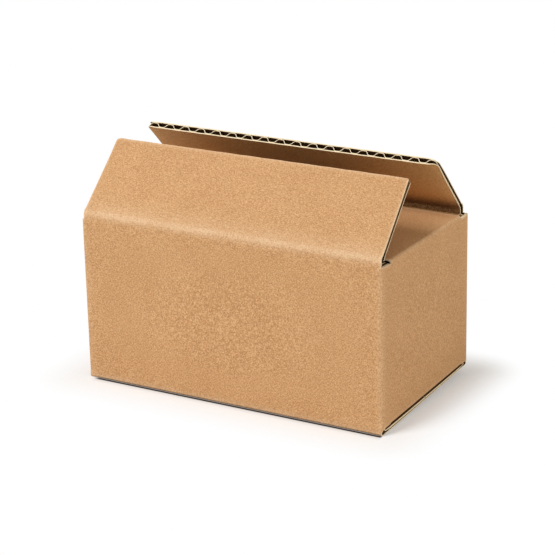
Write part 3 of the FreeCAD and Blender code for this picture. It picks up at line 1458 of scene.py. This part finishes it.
@dataclass
class LongFlap:
    """A long top flap with the web of its crease, bent between the wall and the flap."""

    sizes: Sizes
    crease: Crease
    paint: Paint
    flutes: FluteTree
    look: FlapLook
    worn: FlapWear = FlapWear()
    corner_stretch: float = 8.0 * MM
    plain_steps: int = 30
    corner_steps: int = 16
    web_rows: int = 5
    bend_rows: int = 12
    flap_rows: int = 34
    row_power: float = 0.9
    medium_tip_gap: float = 0.12 * MM
    medium_side_gap: float = 0.05 * MM
    medium_fit: float = 6.0 * MM
    medium_root: float = 0.2 * MM
    medium_level: float = 0.9
    blend_gap: float = 0.02 * MM

    @property
    def _half(self) -> float:
        """Half the flap's width."""
        return self.sizes.half_length - self.sizes.long_flap_inset

    def _stations(self) -> np.ndarray:
        """Lays out places along the crease, closer together at the rounded free corners.

        Returns:
            The places, from the left side to the right one.
        """
        start = self._half - self.corner_stretch
        ease = np.sin(np.linspace(0, QUARTER, self.corner_steps)[1:])
        close = self._half - (self._half - start) * (1 - ease)
        half = np.concatenate([np.linspace(0, start, self.plain_steps), close])
        return np.concatenate([-half[:0:-1], half])

    def _reach(self, place: np.ndarray) -> np.ndarray:
        """How far the flap reaches, with its free corners rounded and its cut a little rough.

        Args:
            place: Places along the crease.

        Returns:
            The distance from the crease to the free edge at each place.
        """
        rounded = np.zeros_like(place)
        for way, radius in zip((1, -1), self.look.corner):
            past = np.clip(way * place - (self._half - radius), 0, radius)
            rounded = rounded + radius - np.sqrt(radius * radius - past * past)
        seed = Seed.LONG_EDGE.value + self.crease.side.value
        rough = self.worn.cut_wander * wander(place, seed, self.worn.cut_wave)
        return self.sizes.long_reach - rounded * self.worn.corner_share + rough

    def _sideways(self, place: np.ndarray, run: np.ndarray) -> np.ndarray:
        """Skews the flap, whose side edges aren't quite square to the crease.

        Args:
            place: Places along the crease.
            run: How far from the crease.

        Returns:
            Where each point comes to lie along X.
        """
        share = np.clip(run / self.sizes.long_reach, 0, 1)
        total = place + 0 * run
        for way, flare, taper in zip((1, -1), self.look.flare, self.look.taper):
            near = np.clip(way * place / self._half, 0, 1) ** self.worn.skew_power
            total = total + way * near * (flare - taper * share)
        return total

    def _nick(self, place: np.ndarray, past: np.ndarray) -> np.ndarray:
        """How far the inner liner is cut back from its side edges beside the crease.

        Args:
            place: Places along the crease.
            past: How far round and beyond the bend of the crease.

        Returns:
            The shift along X that takes each point inwards.
        """
        total = np.zeros(np.broadcast(place, past).shape)
        for way, waist in zip((1, -1), self.look.waist):
            near = np.clip(way * place / self._half, 0, 1) ** self.worn.nick_power
            total = total + way * waist * near * bell(past, self.worn.nick_fade)
        return total

    def _pinch(self, place: np.ndarray, from_edge: np.ndarray) -> np.ndarray:
        """How far the board is pressed together at its free corners and sides.

        Args:
            place: Places along the crease.
            from_edge: How far from the free edge.

        Returns:
            The share, from 0 for fresh board to 1.
        """
        worn = self.worn
        total = np.zeros(np.broadcast(place, from_edge).shape)
        for way, amount, side in zip((1, -1), self.look.pinch, self.look.side_crush):
            inwards = self._half - way * place
            corner = bell(inwards, worn.pinch_width) * bell(from_edge, worn.pinch_reach)
            total = total + amount * corner + side * bell(inwards, worn.side_width) * (1 - corner)
        return np.clip(total, 0, 1)

    def _face(self, depth: float) -> np.ndarray:
        """One face of a liner, from the wall through the crease to the free edge.

        Args:
            depth: How deep it lies in the board, from its outer face.

        Returns:
            The points, by place along the crease and row across it.
        """
        s = self.sizes
        place = self._stations()[:, None]
        lean = self.crease.lean
        mid = s.board.middle
        up = np.array([math.sin(lean), math.cos(lean)])
        pivot = np.array([mid, self.crease.pivot_z])
        centre = np.array([s.crease_radius, pivot[1] + (mid - s.crease_radius) * math.tan(lean / 2)])
        radius = s.crease_radius - depth

        web = np.linspace(0, 1, self.web_rows)[None, :-1]
        web_in = np.full_like(web, depth) + 0 * place
        web_high = s.seam_height + (centre[1] - s.seam_height) * web + 0 * place
        bend = np.linspace(0, lean, self.bend_rows)[None, :-1]
        bend_in = centre[0] - radius * np.cos(bend) + 0 * place
        bend_high = centre[1] + radius * np.sin(bend) + 0 * place

        root = centre + radius * np.array([-math.cos(lean), math.sin(lean)])
        start = float((root - pivot) @ up)
        share = np.linspace(0, 1, self.flap_rows)[None, :] ** self.row_power
        run = start + (self._reach(place) - start) * share
        length = run - start
        offset = (mid - depth) * self._pinch(place, self._reach(place) - run) * self.worn.pressed
        flap_in = root[0] + length * up[0] + offset * math.cos(lean)
        flap_high = root[1] + length * up[1] - offset * math.sin(lean)

        folded = np.zeros(web_in.shape), np.zeros(bend_in.shape)
        x = self._sideways(place, np.hstack([*folded, run]))
        if depth > mid:
            arc = s.crease_radius * bend + 0 * place
            x = x - self._nick(place, np.hstack([folded[0], arc, s.crease_radius * lean + length]))
        y = self.crease.side.value * (s.half_width - np.hstack([web_in, bend_in, flap_in]))
        return np.stack([x, y, np.hstack([web_high, bend_high, flap_high])], axis=2)

    def _wear(self, rows: int) -> np.ndarray:
        """How worn the outer liner is: along the crease and a little at its cut edges.

        Args:
            rows: How many rows the liner has.

        Returns:
            For each place and row, from 0 for fresh to 1 for fully worn.
        """
        worn = self.worn
        place = self._stations()[:, None]
        row = np.arange(rows)[None, :]
        middle = self.web_rows - 1 + (self.bend_rows - 1) / 2
        crease = bell(row - middle, self.bend_rows * worn.crease_spread)
        seed = Seed.CREASE_RUB.value + self.crease.side.value
        patchy = 1 - worn.patchy + worn.patchy * wander(place, seed, worn.patch_wave)
        side = bell(self._half - np.abs(place), worn.cut_width)
        cut = np.maximum(bell(rows - 1 - row, worn.tip_rows), side)
        return np.clip(worn.rub_crease * crease * patchy + worn.rub_cut * cut, 0, 1)

    def _crease_shade(self, rows: int) -> np.ndarray:
        """How much painted shade the inner liner takes along the crease, where shade falls between the flaps.

        Args:
            rows: How many rows the liner has.

        Returns:
            For each row, from 0 for no painted shade to 1 for the darkest.
        """
        past = np.maximum(np.arange(rows) - (self.web_rows + self.bend_rows - 2), 0)
        return bell(past / (self.flap_rows - 1) * self.sizes.long_reach, self.worn.crease_shade_width)

    def liner(self, layer: Layer) -> bpy.types.Object:
        """Builds one liner of the flap and of its crease.

        Args:
            layer: Which liner.

        Returns:
            Its object.
        """
        near, far = self.sizes.board.span(layer)
        top = self._face(near)
        rows = top.shape[1]
        cells = np.ones((top.shape[0] - 1, rows - 1), bool)
        # The outer liner takes its wear, and the inner liner takes painted shade along the crease.
        wear_and_shade = self._wear(rows) if layer is Layer.OUTER else self._crease_shade(rows)
        grid = Grid(layer, top, self._face(far), cells, self._stations()[:, None], wear_and_shade)
        piece = grid.make(f"{self.crease.body}_{layer.value}", self.paint)
        self._bend(piece, max(near, far) - self.sizes.board.middle)
        return piece

    def _bend(self, piece: bpy.types.Object, inwards: float) -> None:
        """Bakes a liner's placement into its mesh. The reach of its crease round the pivot is worked out, but
        nothing is moved by it.

        Args:
            piece: The liner.
            inwards: How far past the board's middle its inward face lies.
        """
        half = self.crease.lean / 2
        travel = self.sizes.crease_web * math.cos(half) - inwards * math.sin(half) - self.blend_gap
        side = self.crease.side.value
        step = Vector((0, -side * math.sin(half), math.cos(half))) * travel
        pivot = Vector((0, side * self.crease.pivot_y, self.crease.pivot_z))
        pivot - step
        pivot + step
        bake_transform(piece)

    def medium(self) -> bpy.types.Object:
        """Builds the flap's medium, whose waves show along the free edge.

        Returns:
            Its object.
        """
        s = self.sizes
        lean = self.crease.lean
        tip = s.long_reach - self.medium_tip_gap
        name = f"{self.crease.body}_medium"
        mesh = self.flutes.wave(name, 2 * (self._half - self.medium_side_gap), tip - s.crushed_band)
        place, run, across = read_points(mesh).T
        run = run + (tip + s.crushed_band) / 2
        reach = self._reach(place)
        run = run + (reach - s.long_reach) * smooth_step((run - tip + self.medium_fit) / self.medium_fit)
        across = across * (1 - self.worn.pressed * self._pinch(place, reach - run))
        inwards = s.board.middle + run * math.sin(lean) - across * math.cos(lean)
        high = self.crease.pivot_z + run * math.cos(lean) + across * math.sin(lean)
        y = self.crease.side.value * (s.half_width - inwards)
        level = (face for face in mesh.polygons if face.normal.z > self.medium_level)
        sheet = next(level).material_index
        for face in mesh.polygons:
            if run[list(face.vertices)].max() < s.crushed_band + self.medium_root:
                face.material_index = sheet
        mesh.vertices.foreach_set("co", np.column_stack([self._sideways(place, run), y, high]).ravel())
        return join_meshes(name, [mesh])

    def build(self) -> list[bpy.types.Object]:
        """Builds the flap's pieces, of which the medium rides on the flap's body.

        Returns:
            The pieces, the outer liner first.
        """
        medium = self.medium()
        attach(medium, self.crease.body)
        return [self.liner(Layer.OUTER), self.liner(Layer.INNER), medium]


@dataclass(frozen=True)
class CameraPlace:
    """Where the camera stands and how it looks, as the photograph was taken."""

    stand: tuple[float, float, float] = (0.366433, -0.623880, 0.291313)
    yaw: float = math.radians(30.384)
    pitch: float = math.radians(19.274)
    roll: float = math.radians(-1.243)
    lens: float = 134.60
    sensor: float = 36.0
    clip: tuple[float, float] = (0.01, 20.0)

    def make(self) -> None:
        """Makes the scene's camera."""
        data = bpy.data.cameras.new("camera")
        data.lens = self.lens
        data.sensor_width = self.sensor
        data.clip_start, data.clip_end = self.clip
        camera = bpy.data.objects.new("camera", data)
        ahead = Vector((
            -math.sin(self.yaw) * math.cos(self.pitch),
            math.cos(self.yaw) * math.cos(self.pitch),
            -math.sin(self.pitch),
        ))
        level = Vector((math.cos(self.yaw), math.sin(self.yaw), 0.0))
        above = level.cross(ahead)
        right = level * math.cos(self.roll) + above * math.sin(self.roll)
        up = above * math.cos(self.roll) - level * math.sin(self.roll)
        turn = Matrix((right, up, -ahead)).transposed().to_4x4()
        camera.matrix_world = Matrix.Translation(self.stand) @ turn
        bpy.context.scene.collection.objects.link(camera)
        bpy.context.scene.camera = camera


@dataclass(frozen=True)
class Lamp:
    """A soft square lamp that looks at the carton."""

    name: str
    place: tuple[float, float, float]
    size: float
    watts: float
    colour: Colour
    aim: tuple[float, float, float] = (0.0, 0.0, 0.035)

    def make(self) -> None:
        """Hangs the lamp."""
        data = bpy.data.lights.new(self.name, "AREA")
        data.shape = "SQUARE"
        data.size = self.size
        data.energy = self.watts
        data.color = self.colour
        lamp = bpy.data.objects.new(self.name, data)
        turn = (Vector(self.aim) - Vector(self.place)).to_track_quat("-Z", "Y")
        lamp.matrix_world = Matrix.Translation(self.place) @ turn.to_matrix().to_4x4()
        bpy.context.scene.collection.objects.link(lamp)


@dataclass(frozen=True)
class FloorWhite:
    """The floor's finish. It takes the carton's shadow close by, and is plain white further off.

    Under the front edge it has a painted contact shadow: a thin dark line where the carton meets the floor,
    and a softer painted shade a few millimetres out. Each pair gives the distances at which something begins
    and ends.
    """

    shadow_width: float = 22 * MM
    plain_share: float = 0.30
    lit_tone: float = 0.84
    seen_tone: float = 0.97
    near_shade: float = 0.3
    near_fade: tuple[float, float] = (0.4 * MM, 4.0 * MM)
    contact_shadow_fade: tuple[float, float] = (0.50 * MM, 1.25 * MM)
    contact_shadow_tint: Colour = (0.030, 0.012, 0.005)
    left_fade: tuple[float, float] = (1.5 * MM, 5.0 * MM)
    right_fade: float = 1.0 * MM
    front_fade: float = 1.0 * MM

    def _ahead(self, nodes: Nodes, sizes: Sizes, place: Socket) -> Socket:
        """Finds the floor in front of the carton.

        Args:
            nodes: The material's nodes.
            sizes: The carton's sizes.
            place: The object coordinates.

        Returns:
            1 before the front wall, and 0 beside and behind it.
        """
        x = nodes.split(place)
        front = x.other("Y").step(self.front_fade - sizes.half_width, -sizes.half_width)
        left = x.step(*(fade - sizes.half_length for fade in self.left_fade))
        return front * left * x.step(sizes.half_length, sizes.half_length - self.right_fade)

    def make(self, sizes: Sizes) -> bpy.types.Material:
        """Builds the material.

        Args:
            sizes: The carton's sizes.

        Returns:
            The material.
        """
        material = bpy.data.materials.new("floor_white")
        material.use_nodes = True
        nodes = Nodes(material.node_tree)
        seen = nodes.seen()
        place = nodes.place()
        corner = Vector((sizes.half_length, sizes.half_width, 1.0))
        past = nodes.vector("SUBTRACT", {0: nodes.vector("ABSOLUTE", {0: place}), 1: corner})
        outside = nodes.vector("MAXIMUM", {0: past, 1: Vector((0, 0, 0))})
        away = nodes.vector("LENGTH", {0: outside}, "Value")
        ahead = self._ahead(nodes, sizes, place)
        # Painted shadow before the carton: a dark contact line under the front edge, and a softer painted
        # shade just beyond it.
        contact_shadow = (1.0 - away.step(*self.contact_shadow_fade)) * ahead
        near = (1.0 - away.step(*self.near_fade)) * ahead
        far = away.step(0.0, self.shadow_width)
        share = (self.plain_share + (1.0 - self.plain_share) * far) * seen * (1.0 - contact_shadow)
        tone = (self.lit_tone + (self.seen_tone - self.lit_tone) * seen) * (1.0 - self.near_shade * near)
        tone = nodes.mix(contact_shadow, tone, rgba(self.contact_shadow_tint))
        plain = nodes.add("ShaderNodeBsdfDiffuse", {}, {"Color": tone})
        white = nodes.add("ShaderNodeEmission", {}, {"Color": WHITE, "Strength": 1.0})
        mixed = nodes.add("ShaderNodeMixShader", {}, {0: share, 1: plain, 2: white})
        nodes.end("ShaderNodeOutputMaterial", mixed)
        return material


@dataclass
class Studio:
    """The pale floor, the white surroundings and the lamps."""

    sizes: Sizes
    floor_white: FloorWhite = FloorWhite()
    floor_radius: float = 6.0
    floor_steps: int = 96
    ambient: float = 0.42
    ambient_tint: Colour = (1.0, 0.93, 0.82)
    lamps: tuple[Lamp, ...] = (
        Lamp("key_lamp", place=(-0.50, -0.98, 1.20), size=0.6, watts=17.0, colour=(0.99, 1.0, 1.03)),
        Lamp("fill_lamp", place=(1.35, 0.00, 0.26), size=0.6, watts=4.4, colour=(1.0, 0.97, 0.91)),
    )

    def _floor(self) -> None:
        """Lays the floor, which isn't part of the carton."""
        mesh = bpy.data.meshes.new("floor")
        work = bmesh.new()
        bmesh.ops.create_circle(work, cap_ends=True, segments=self.floor_steps, radius=self.floor_radius)
        work.to_mesh(mesh)
        work.free()
        mesh.materials.append(self.floor_white.make(self.sizes))
        floor = bpy.data.objects.new("floor", mesh)
        bpy.context.scene.collection.objects.link(floor)

    def _world(self) -> None:
        """Makes the surroundings: white to look at, and a plain level of light."""
        world = bpy.data.worlds.new("surroundings")
        world.use_nodes = True
        bpy.context.scene.world = world
        nodes = Nodes(world.node_tree)
        seen = nodes.seen()
        strength = self.ambient + seen * (1.0 - self.ambient)
        colour = nodes.mix(seen, rgba(self.ambient_tint), WHITE)
        shade = nodes.add("ShaderNodeBackground", {}, {"Color": colour, "Strength": strength})
        nodes.end("ShaderNodeOutputWorld", shade)

    def make(self) -> None:
        """Builds the whole studio."""
        self._world()
        self._floor()
        for lamp in self.lamps:
            lamp.make()
        bpy.context.scene.view_settings.view_transform = "Standard"


def report(pieces: Sequence[bpy.types.Object]) -> None:
    """Logs each piece's name and how many triangles it has.

    Args:
        pieces: The pieces.
    """
    for piece in pieces:
        triangles = sum(len(face.vertices) - 2 for face in piece.data.polygons)
        LOG.info("%s: %d triangles", piece.name, triangles)


def main() -> None:
    """Builds the carton, its long flaps and the studio, and reports the pieces."""
    logging.basicConfig(level=logging.INFO, format="%(message)s")
    CameraPlace().make()
    front = Crease.read(Side.FRONT, "long_flap_front", "front_crease")
    back = Crease.read(Side.BACK, "long_flap_back", "back_crease")
    sizes = Sizes.read(front)
    Studio(sizes).make()
    paint = Paint()
    # The medium is painted near black, as painted shade in its flutes. Its cut edges stay pale.
    flutes = FluteTree(sizes.board, paint.glued, paint.edge)
    carton = Carton(sizes, paint, flutes).build()
    for piece in carton:
        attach(piece, "carton")
    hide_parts("carton")
    report(carton)
    for crease, look in ((front, FRONT_LOOK), (back, BACK_LOOK)):
        flap = LongFlap(sizes, crease, paint, flutes, look).build()
        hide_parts(crease.body)
        report(flap)


if __name__ == "__main__":
    main()
